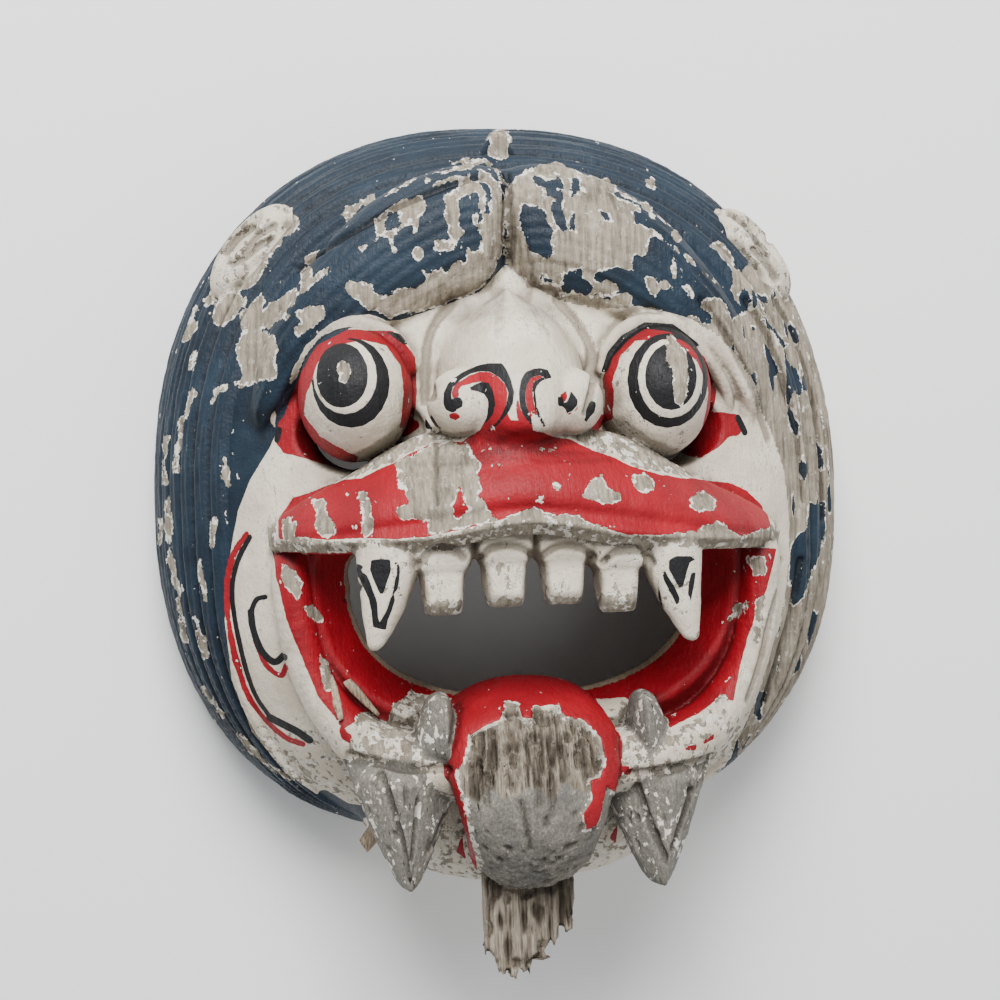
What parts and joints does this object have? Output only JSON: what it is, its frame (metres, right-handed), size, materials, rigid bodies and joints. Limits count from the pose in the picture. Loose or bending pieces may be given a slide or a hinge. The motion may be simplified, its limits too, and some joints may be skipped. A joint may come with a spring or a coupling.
{
  "type": "carved wooden mask",
  "caption": "Hollow carved wooden demon mask with bulging eyes, open fanged mouth, hanging tongue and combed hair; lies on its flat back rim or hangs on a wall.",
  "frame": {"origin": "centre of the bounding box in plan, on the plane of the mask's flat back rim", "axes": "+Z out of the face, away from the rim; +Y from the chin to the crown; +X to the right of the face as one looks at it"},
  "size_m": [0.159, 0.1872, 0.0876],
  "materials": {
    "painted_wood": "worn matt paint in blue, white, red and black over grey wood",
    "bare_wood": "bare split wood"
  },
  "bodies": {
    "root": {"mask": "painted_wood", "sliver_upright": "bare_wood", "sliver_slant": "bare_wood", "jaw_peg": "bare_wood"}
  },
  "joints": []
}
